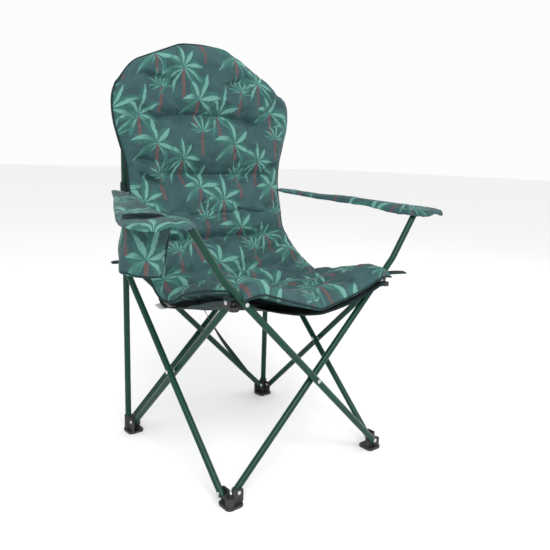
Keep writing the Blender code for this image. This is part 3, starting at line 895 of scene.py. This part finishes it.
def bound_edge(name, place, corners, width, material, body):
    """Tape folded over a panel's edge through (u, v) corners, and sewn down."""
    spots = []
    for (u0, v0), (u1, v1) in zip(corners, corners[1:]):
        steps = max(2, round(60 * max(abs(u1 - u0), abs(v1 - v0))))
        spots += [(u0 + (u1 - u0) * index / steps, v0 + (v1 - v0) * index / steps) for index in range(steps)]
    spots.append(corners[-1])
    points = [place(u, v) for u, v in spots]
    facings = [facing(place, u, v) for u, v in spots]
    return tape(name, points, facings, width, 0.0042, material, body)


# fabric sewn round the corner joints, sticking out past them
CORNER_TABS = {
    "left_front_corner": ((0.228, -0.234, 0.4740), (0.252, -0.240, 0.4775), (0.282, -0.247, 0.4765),
                          (0.306, -0.251, 0.4745)),
    "right_front_corner": ((-0.228, -0.236, 0.4740), (-0.252, -0.245, 0.4775), (-0.272, -0.252, 0.4755)),
    "right_rear_slider": ((-0.240, 0.238, 0.4745), (-0.262, 0.240, 0.4775), (-0.282, 0.241, 0.4750)),
    "left_rear_slider": ((0.240, 0.238, 0.4745), (0.262, 0.240, 0.4775), (0.280, 0.241, 0.4750)),
}
TAB_SIDE = Vector((0.1, 1, 0.2))  # direction of the tabs' width
# sewn lines: place along the panel, how far they reach towards the sides, and how they bow; then
# loose folds as lines across and up the panel from its lower middle, and their width
BACK_SEWN = (((0.200, 0.58, 0.02), (0.545, 0.56, -0.02)),
             ((0.145, 0.085, 0.205, 0.140, 0.009), (0.205, 0.140, 0.235, 0.146, 0.008),
              (-0.150, 0.080, -0.225, 0.120, 0.009), (0.150, 0.235, 0.185, 0.310, 0.010),
              (0.185, 0.310, 0.225, 0.345, 0.009), (-0.150, 0.250, -0.215, 0.300, 0.009),
              (0.060, 0.085, 0.085, 0.150, 0.007), (-0.235, 0.160, -0.180, 0.150, 0.008),
              (-0.215, 0.390, -0.120, 0.360, 0.009), (0.050, 0.360, 0.110, 0.385, 0.008)))
LUMBAR_SEWN = (((0.655, 0.70, 0.03), (0.28, 0.55, 0.03)),
               ((0.080, 0.130, 0.235, 0.165, 0.009), (0.030, 0.125, 0.110, 0.080, 0.008),
                (-0.235, 0.110, -0.120, 0.095, 0.009), (0.120, 0.060, 0.230, 0.085, 0.009),
                (-0.220, 0.050, -0.130, 0.030, 0.009), (0.150, 0.020, 0.235, 0.040, 0.008)))
SEAT_SEWN = (((0.52, 0.45, 0.0),),
             ((0.060, 0.180, 0.200, 0.060, 0.010), (0.120, 0.220, 0.225, 0.150, 0.009),
              (-0.070, 0.180, -0.200, 0.090, 0.010), (0.020, 0.120, 0.120, 0.030, 0.009),
              (-0.030, 0.100, -0.140, 0.030, 0.009)))
PRINT_AT_WAIST = 0.500           # distance up the print where the back and lower back meet
WAIST_OVERLAP = 0.008            # each of the two goes on this far past it
SIDE_SAG = 0.044                 # how far the seat's rear corner on the cup's side hangs down
ROUND_TOP = ((0.0, 0.0), (0.0, 1.0), (1.0, 1.0), (1.0, 0.0))


def fold_with(piece):
    """Give the piece its own copy of its mesh."""
    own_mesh(piece)


class CHAIR_OT_back(bpy.types.Operator):
    """Padded back with a high top, its edge tape and the pockets for the uprights"""
    bl_idname = "chair.back"
    bl_label = "Back"

    def execute(self, context):
        sizes = context.scene.chair_sizes
        colours = context.scene.chair_colours
        fabric = palm_print(colours)
        edging = edge_cloth(colours)
        place = sling(BACK_ROWS, 2.2, (TOP_X, TOP_RISE))
        back = padded_panel("back_cover", place, (72, 84), PRINT_AT_WAIST - WAIST_OVERLAP, BACK_SEWN, sizes,
                            fabric, "frame_root", ["back_pad"], (1, 0))
        fold_with(back)
        edge = bound_edge("back_edge_tape", place, ROUND_TOP, sizes.binding, edging, "frame_root")
        fold_with(edge)
        for side in ("left", "right"):
            node = side + "_top_pocket"
            low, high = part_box(node)
            middle, radius = round_box(node)
            top = high.z + 0.004
            bm = bmesh.new()
            profile = ((radius - 0.0014, low.z), (radius, low.z + 0.001), (radius + 0.0010, low.z + 0.03),
                       (radius, top - 0.012), (radius - 0.003, top - 0.002), (radius - 0.007, top))
            turned(bm, profile, Matrix.Translation((middle.x, middle.y, 0)), 32)
            make_piece(side + "_upright_pocket", bm, fabric, BODY_OF[node], [node], 50,
                       box_cloth(bm))
        return {"FINISHED"}


class CHAIR_OT_seat(bpy.types.Operator):
    """Lower back, seat, the tabs at its corners and the plain layer under it"""
    bl_idname = "chair.seat"
    bl_label = "Seat"

    def execute(self, context):
        sizes = context.scene.chair_sizes
        colours = context.scene.chair_colours
        fabric = palm_print(colours)
        edging = edge_cloth(colours)
        place = sling(LUMBAR_ROWS, 2.0, sag=SIDE_SAG)
        _, rise = cloth_grid(place, 2, 48, 0.0)
        start = PRINT_AT_WAIST + WAIST_OVERLAP - rise[48, 1]
        lumbar = padded_panel("lumbar_cover", place, (72, 48), start, LUMBAR_SEWN, sizes, fabric, "lumbar",
                              ["lumbar_pad"], (0, 1))
        fold_with(lumbar)
        for side, u in (("right", 0.0), ("left", 1.0)):
            edge = bound_edge(side + "_lumbar_edge_tape", place, ((u, 0.0), (u, 1.0)), sizes.binding, edging,
                              "lumbar")
            fold_with(edge)
        place = sling(SEAT_ROWS, 1.7, (FRONT_X, FRONT_RISE), 0.0, SIDE_SAG)
        seat = padded_panel("seat_cover", place, (72, 52), 0.0, SEAT_SEWN, sizes, fabric, "seat",
                            ["seat_pad"])
        fold_with(seat)
        corners = ((0.0, 1.0), (0.0, 0.0), (1.0, 0.0), (1.0, 1.0))
        edge = bound_edge("seat_edge_tape", place, corners, sizes.binding * 0.55, edging, "seat")
        fold_with(edge)
        for node, points in CORNER_TABS.items():
            sides = [TAB_SIDE] * len(points)
            tab = tape(node + "_fabric_tab", moved_back(points), sides, 0.022, 0.0055, edging, BODY_OF[node],
                       corners=12)
            smooth_surface(tab)
        place = sling(UNDER_ROWS, 1.8)
        bm, spots = double_layer(*UNDER_GRID)
        marks = cloth_marks(place, UNDER_GRID, 0.0, spots)
        for vert, (u, v, layer), mark in zip(bm.verts, spots, marks):
            crease = crumple(mark, 14.0, (0.6, 1.6), 5.5) * 0.0030
            vert.co = place(u, v) + facing(place, u, v) * (crease + (0.0006 if layer else -0.0006))
        plain = plain_cloth("plain_cloth", colours.plain, 0.0012)
        under = make_piece("seat_underlayer", bm, plain, "seat", ["seat_base"], FABRIC_SHARP,
                           marks)
        smooth_surface(under)
        fold_with(under)
        return {"FINISHED"}


# ---- armrests ----
# y, inner x, outer x and height, from the upright to the front
ARM_ROWS = {
    "right": ((0.2240, 0.253, 0.284, 0.661), (0.1200, 0.268, 0.328, 0.655), (0.0000, 0.308, 0.385, 0.650),
              (-0.1000, 0.334, 0.430, 0.6445), (-0.1800, 0.338, 0.464, 0.641), (-0.2300, 0.336, 0.480, 0.640),
              (-0.2600, 0.343, 0.480, 0.639), (-0.2830, 0.362, 0.466, 0.638), (-0.2960, 0.386, 0.446, 0.638)),
    "left": ((0.2240, 0.253, 0.284, 0.661), (0.1200, 0.266, 0.325, 0.655), (0.0000, 0.304, 0.366, 0.650),
             (-0.1000, 0.322, 0.398, 0.6445), (-0.1700, 0.326, 0.420, 0.640), (-0.2150, 0.327, 0.431, 0.638),
             (-0.2450, 0.330, 0.431, 0.636), (-0.2680, 0.342, 0.420, 0.635), (-0.2800, 0.358, 0.404, 0.635)),
}
ARM_GRID = (28, 110)             # cells across and along an armrest
ARM_DROOP = {"right": 0.007, "left": 0.015}      # how far the edges hang below the middle
TIP_LIFT = {"right": 0.0, "left": 0.9}           # share of it that is lost at the front tip
TIP_DROOP = 0.009                                # how far the front tip bends down
CUP_HOLE_R = 0.037
CUP_HOLE_Z = 0.6405              # height of the tape round the hole


def armrest_place(side):
    """Surface of an armrest; u runs across to the sitter's left and v to the front, each 0 to 1."""
    sign = 1 if side == "left" else -1

    def place(u, v):
        y, inner, outer, z = between(ARM_ROWS[side], v)
        x = inner + (outer - inner) * (u if sign > 0 else 1 - u)
        out = abs(2 * u - 1)
        droop = (0.003 * out ** 2 + ARM_DROOP[side] * out ** 6) * min(1.0, 0.2 + v * 1.6)
        droop *= 1 - TIP_LIFT[side] * v ** 12
        droop += TIP_DROOP * (0.2 + 0.3 * ARM_DROOP[side] / ARM_DROOP["right"]) * v ** 14
        return FEET_AT + Vector((sign * x, y, z - droop))
    return place


def fold_arm(piece):
    """Give the piece its own copy of its mesh."""
    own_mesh(piece)


def cut_hole(piece, middle, radius):
    """Cut a round hole down through a piece, and keep the shape that its modifiers have made."""
    bm = bmesh.new()
    turned(bm, ((radius, 0.60), (radius, 0.70)), Matrix.Translation((middle.x, middle.y, 0)), 64)
    cutter = closed_object("hole_cutter", bm)
    change = piece.modifiers.new("hole", "BOOLEAN")
    change.operation = "DIFFERENCE"
    change.object = cutter
    bpy.context.view_layer.update()
    shape = bpy.data.meshes.new_from_object(piece.evaluated_get(bpy.context.evaluated_depsgraph_get()))
    piece.modifiers.clear()
    piece.data = shape
    bpy.data.objects.remove(cutter)


class CHAIR_OT_armrests(bpy.types.Operator):
    """Fabric armrests, the right one with a hole for a cup, and their webbing loops"""
    bl_idname = "chair.armrests"
    bl_label = "Armrests"

    def execute(self, context):
        colours = context.scene.chair_colours
        fabric = palm_print(colours)
        webbing = strap_cloth(colours)
        for side, sign in (("left", 1), ("right", -1)):
            place = armrest_place(side)
            across, along = ARM_GRID
            bm, spots = double_layer(across, along)
            marks = cloth_marks(place, ARM_GRID, 0.06, spots)
            for vert, (u, v, layer), (left, up, _) in zip(bm.verts, spots, marks):
                rim = min(min(u, 1 - u) * across / 1.5, min(v, 1 - v) * along / 2, 1.0)
                puff = 0.0012 + 0.0016 * math.sqrt(max(rim, 0.0))
                crease = crumple((up, left), 26.0, (0.45, 1.6), 2.0 + sign) * 0.0030
                pulls = 0.0016 * crumple((v * 3.0, u * 0.3), 6.0, (1, 1), 8.0 + sign) * abs(2 * u - 1) ** 1.5
                vert.co = place(u, v) + Vector((0, 0, crease + pulls + (puff if layer else -puff)))
            piece = make_piece(side + "_arm_cover", bm, fabric, BODY_OF[side + "_armrest"],
                               [side + "_armrest"], FABRIC_SHARP)
            smooth_surface(piece)
            if side == "right":
                cut_hole(piece, CUP_AT, CUP_HOLE_R)
            mark_cloth(piece.data, [(vert.co.y + 0.30, vert.co.x, 0.0) for vert in piece.data.vertices])
            fold_arm(piece)
            node = side + "_arm_loop"
            low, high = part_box(node)
            middle, radius = round_box(node)
            bm = bmesh.new()
            ring = [(radius - 0.0018, low.z + 0.002), (radius, low.z + 0.002), (radius + 0.0004, middle.z),
                    (radius, high.z - 0.002), (radius - 0.0018, high.z - 0.002)]
            turned(bm, ring, Matrix.Translation((middle.x, middle.y, 0)), 36, closed=True)
            make_piece(side + "_arm_webbing", bm, webbing, BODY_OF[node], [node], 50,
                       box_cloth(bm))
        return {"FINISHED"}


# ---- cup pocket, strap and label ----
POCKET_TOP = CUP_HIGH.z + 0.006
POCKET_BOTTOM = CUP_LOW.z + 0.016
POCKET_TALL = POCKET_TOP - POCKET_BOTTOM
POCKET_SIDES, POCKET_STEPS = 72, 24
POCKET_SHIFT = Vector((0.005, -0.0045, 0))
POCKET_LEAN = Vector((-0.009, 0.008, 0))         # how far the bottom swings out from below the top
POCKET_SEAM = math.radians(-28)                  # where its upright seam is


def pocket_wall(turn, share, inset=0.0):
    """Point of the pocket's side at an angle and a share of its height."""
    slack = 0.0035 * math.sin(3 * turn + 2.2 * share) + 0.002 * math.sin(7 * turn - 5 * share)
    width = CUP_R - 0.004 - 0.004 * (1 - share) ** 2 - inset
    width += slack * math.sin(math.pi * min(share * 1.1, 1.0))
    height = POCKET_BOTTOM + POCKET_TALL * share - 0.004 * math.cos(turn + 0.6) * (1 - share)
    side = Vector((CUP_AT.x + width * math.cos(turn), CUP_AT.y + width * math.sin(turn), height))
    return side + POCKET_LEAN * (1 - share) + POCKET_SHIFT


def pocket_shape():
    """Thin pocket, drawn down from its open top and closed at the bottom."""
    bm = bmesh.new()
    ring = bmesh.ops.create_circle(bm, segments=POCKET_SIDES, radius=1.0)["verts"]
    row = sorted(ring, key=lambda vert: math.atan2(vert.co.y, vert.co.x) % (2 * math.pi))
    edges = list({edge for vert in ring for edge in vert.link_edges})
    profile = [(step / POCKET_STEPS, 0.0) for step in range(POCKET_STEPS, -1, -1)]
    profile += [(0.0, CUP_R * 0.4), (0.0, CUP_R * 0.8)]
    for index, (share, inset) in enumerate(profile):
        if index:
            made = bmesh.ops.extrude_edge_only(bm, edges=edges)["geom"]
            edges = only(bmesh.types.BMEdge, made)
            fresh = set(only(bmesh.types.BMVert, made))
            row = [next(end for edge in vert.link_edges for end in edge.verts if end in fresh) for vert in row]
        for step, vert in enumerate(row):
            vert.co = pocket_wall(2 * math.pi * step / POCKET_SIDES, share, inset)
    bmesh.ops.contextual_create(bm, geom=edges)
    bmesh.ops.solidify(bm, geom=bm.faces[:], thickness=0.0012)
    return bm


def pocket_tape(name, points, sides, width, thickness, material):
    """Tape sewn to the cup pocket, carried with the right armrest."""
    piece = tape(name, points, sides, width, thickness, material, "right_arm")
    fold_arm(piece)


class CHAIR_OT_cup_pocket(bpy.types.Operator):
    """Printed cup pocket under the right armrest, with dark tape round its hole and its bottom"""
    bl_idname = "chair.cup_pocket"
    bl_label = "Cup Pocket"

    def execute(self, context):
        colours = context.scene.chair_colours
        fabric = palm_print(colours)
        edging = edge_cloth(colours)
        bm = pocket_shape()
        marks = []
        for vert in bm.verts:
            turn = math.atan2(vert.co.y - CUP_AT.y, vert.co.x - CUP_AT.x) % (2 * math.pi)
            marks.append((turn * CUP_R, vert.co.z, 0.0))
        pocket = make_piece("cup_pocket", bm, fabric, "right_arm", ["cup_holder"], FABRIC_SHARP,
                            marks)
        fold_arm(pocket)
        turns = [2 * math.pi * index / 60 for index in range(61)]
        upright = [Vector((0, 0, 1))] * len(turns)
        for name, share in (("cup_bottom_tape", 0.02), ("cup_rim_tape", 1.0)):
            pocket_tape(name, [pocket_wall(turn, share) for turn in turns], upright, 0.008, 0.0028, edging)
        outward = Vector((math.cos(POCKET_SEAM), math.sin(POCKET_SEAM), 0))
        points = [pocket_wall(POCKET_SEAM, index / 16) + outward * 0.001 for index in range(17)]
        around = [Vector((-outward.y, outward.x, 0))] * len(points)
        pocket_tape("cup_seam_tape", points, around, 0.009, 0.0024, edging)
        radius = CUP_HOLE_R + 0.0005
        points = [Vector((CUP_AT.x + radius * math.cos(turn), CUP_AT.y + radius * math.sin(turn), CUP_HOLE_Z))
                  for turn in turns]
        pocket_tape("cup_hole_tape", points, upright, 0.009, 0.0035, edging)
        return {"FINISHED"}


STRAP_ROUTE = (
    (-0.085, 0.100, 0.352), (-0.045, 0.118, 0.300), (0.000, 0.137, 0.246), (0.050, 0.155, 0.191),
    (0.100, 0.172, 0.137), (0.150, 0.188, 0.086), (0.190, 0.199, 0.048), (0.211, 0.207, 0.016),
)
STRAP_TWIST = math.radians(200)
STRAP_STEPS = 48
LABEL_SHIFT = Vector((-0.010, 0.006, 0.008))     # from its box to where it hangs on the plain layer


class CHAIR_OT_webbing(bpy.types.Operator):
    """Closing strap under the seat, and the blank care label"""
    bl_idname = "chair.webbing"
    bl_label = "Strap and Label"

    def execute(self, context):
        sizes = context.scene.chair_sizes
        webbing = strap_cloth(context.scene.chair_colours)
        route = [tuple(point) for point in moved_back(STRAP_ROUTE)]
        points = [Vector(between(route, step / STRAP_STEPS)) for step in range(STRAP_STEPS + 1)]
        sides = []
        for index in range(len(points)):
            way = points[min(index + 1, STRAP_STEPS)] - points[max(index - 1, 0)]
            twist = Matrix.Rotation(STRAP_TWIST * index / STRAP_STEPS, 3, way.normalized())
            sides.append(twist @ Vector((0, 1, 0.3)))
        strap = tape("closing_webbing", points, sides, sizes.webbing, 0.0014, webbing, BODY_OF["closing_strap"],
                     ["closing_strap"], 8)
        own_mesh(strap)
        low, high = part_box("blank_label")
        size = high - low
        bm, spots = double_layer(10, 16)
        marks = [(u * 0.03, v * 0.05, 0.0) for u, v, _ in spots]
        for vert, (u, v, layer) in zip(bm.verts, spots):
            drop = 0.005 * math.sin(math.pi * v) + 0.004 * u - (0.0003 if layer else -0.0003)
            corner = Vector((low.x + size.x * (1 - u), low.y + size.y * v, high.z))
            vert.co = corner + LABEL_SHIFT - Vector((0, 0, drop))
        label = make_piece("blank_care_label", bm, label_cloth(), BODY_OF["blank_label"],
                           ["blank_label"], FABRIC_SHARP, marks)
        fold_with(label)
        return {"FINISHED"}


# ---- stage ----
LIT_POINT = Vector((0, 0, 0.5))
LOOK_AT = Vector((-0.0015, -0.0870, 0.4708))     # what the camera faces, from the feet's middle
AZIMUTH = math.radians(-40.39)
ELEVATION = math.radians(11.1)
ROLL = math.radians(1.82)
DISTANCE = 1.4900
LENS = 39.34
SENSOR = 36.0


class CHAIR_OT_stage(bpy.types.Operator):
    """Pale floor, soft light and the camera"""
    bl_idname = "chair.stage"
    bl_label = "Stage"

    def execute(self, context):
        stage = context.scene.chair_stage
        bm = bmesh.new()
        bmesh.ops.create_grid(bm, x_segments=1, y_segments=1, size=30.0)
        floor = object_from("floor", bm)
        finish = Finish("pale_floor")
        floor.data.materials.append(finish.set(base_color=(*stage.floor, 1.0), roughness=0.8))
        world = bpy.data.worlds.new("studio")
        world.use_nodes = True
        backdrop = world.node_tree.nodes["Background"].inputs
        backdrop["Color"].default_value = (1.0, 1.0, 1.0, 1.0)
        backdrop["Strength"].default_value = stage.backdrop
        context.scene.world = world
        context.scene.view_settings.view_transform = "Standard"
        for name, spot, size, energy in (("key", (-1.6, -2.6, 2.8), 2.0, stage.key_power),
                                         ("fill", (2.6, -1.2, 1.8), 2.2, stage.fill_power)):
            light = bpy.data.lights.new(name, "AREA")
            light.size = size
            light.energy = energy
            lamp = bpy.data.objects.new(name, light)
            lamp.location = spot
            lamp.rotation_euler = (LIT_POINT - Vector(spot)).to_track_quat("-Z", "Y").to_euler()
            context.scene.collection.objects.link(lamp)
        towards = Vector((math.sin(AZIMUTH) * math.cos(ELEVATION), -math.cos(AZIMUTH) * math.cos(ELEVATION),
                          math.sin(ELEVATION)))
        right = Vector((math.cos(AZIMUTH), math.sin(AZIMUTH), 0))
        up = towards.cross(right)
        x = right * math.cos(ROLL) + up * math.sin(ROLL)
        y = up * math.cos(ROLL) - right * math.sin(ROLL)
        eye = LOOK_AT + FEET_AT + towards * DISTANCE
        lens = bpy.data.cameras.new("camera")
        lens.lens = LENS
        lens.sensor_width = SENSOR
        camera = bpy.data.objects.new("camera", lens)
        camera.matrix_world = Matrix.Translation(eye) @ Matrix((x, y, towards)).transposed().to_4x4()
        context.scene.collection.objects.link(camera)
        context.scene.camera = camera
        return {"FINISHED"}


class CHAIR_PT_panel(bpy.types.Panel):
    """Camp chair pieces and sizes"""
    bl_idname = "CHAIR_PT_panel"
    bl_label = "Camp Chair"
    bl_space_type = "VIEW_3D"
    bl_region_type = "UI"
    bl_category = "Camp Chair"

    def draw(self, context):
        layout = self.layout
        for group in (context.scene.chair_sizes, context.scene.chair_colours, context.scene.chair_stage):
            column = layout.column()
            for name in group.__annotations__:
                column.prop(group, name)
        for operator in OPERATORS:
            layout.operator(operator.bl_idname)


GROUPS = {"chair_sizes": ChairSizes, "chair_colours": ChairColours, "chair_stage": StageSettings}
OPERATORS = (CHAIR_OT_stage, CHAIR_OT_tubes, CHAIR_OT_rivets, CHAIR_OT_mouldings, CHAIR_OT_back, CHAIR_OT_seat,
             CHAIR_OT_armrests, CHAIR_OT_cup_pocket, CHAIR_OT_webbing)


def register():
    for item in (*GROUPS.values(), *OPERATORS, CHAIR_PT_panel):
        bpy.utils.register_class(item)
    for name, group in GROUPS.items():
        setattr(bpy.types.Scene, name, bpy.props.PointerProperty(type=group))


def unregister():
    for name in GROUPS:
        delattr(bpy.types.Scene, name)
    for item in reversed((*GROUPS.values(), *OPERATORS, CHAIR_PT_panel)):
        bpy.utils.unregister_class(item)


def main():
    register()
    bpy.ops.chair.stage()
    bpy.ops.chair.tubes()
    bpy.ops.chair.rivets()
    bpy.ops.chair.mouldings()
    bpy.ops.chair.back()
    bpy.ops.chair.seat()
    bpy.ops.chair.armrests()
    bpy.ops.chair.cup_pocket()
    bpy.ops.chair.webbing()


if __name__ == "__main__":
    main()
